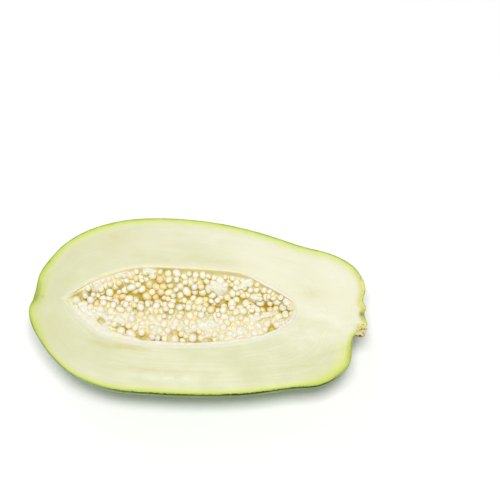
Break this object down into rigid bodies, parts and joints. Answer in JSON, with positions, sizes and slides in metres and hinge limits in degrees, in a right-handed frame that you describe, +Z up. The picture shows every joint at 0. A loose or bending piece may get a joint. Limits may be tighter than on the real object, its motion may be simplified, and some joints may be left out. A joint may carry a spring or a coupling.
{
  "type": "halved green papaya",
  "caption": "Half of an unripe green papaya, cut lengthwise: smooth green skin, pale flesh and a pointed cavity full of white young seeds, lying cut face up.",
  "frame": {"origin": "bottom centre of the part's box, on the surface that the round back rests on", "axes": "+X along the fruit towards the stalk end, +Y across the cut face, +Z up out of the cut face"},
  "size_m": [0.2598, 0.1382, 0.0652],
  "materials": {
    "flesh": "moist pale green-white flesh",
    "skin": "smooth waxy green skin with darker speckles and a pale bloom",
    "seeds": "wet pearly white seeds on a white lining",
    "stub": "dry brown cork"
  },
  "bodies": {
    "root": {"fruit": "flesh", "seeds": "seeds", "stalk_stub": "stub"}
  },
  "joints": []
}
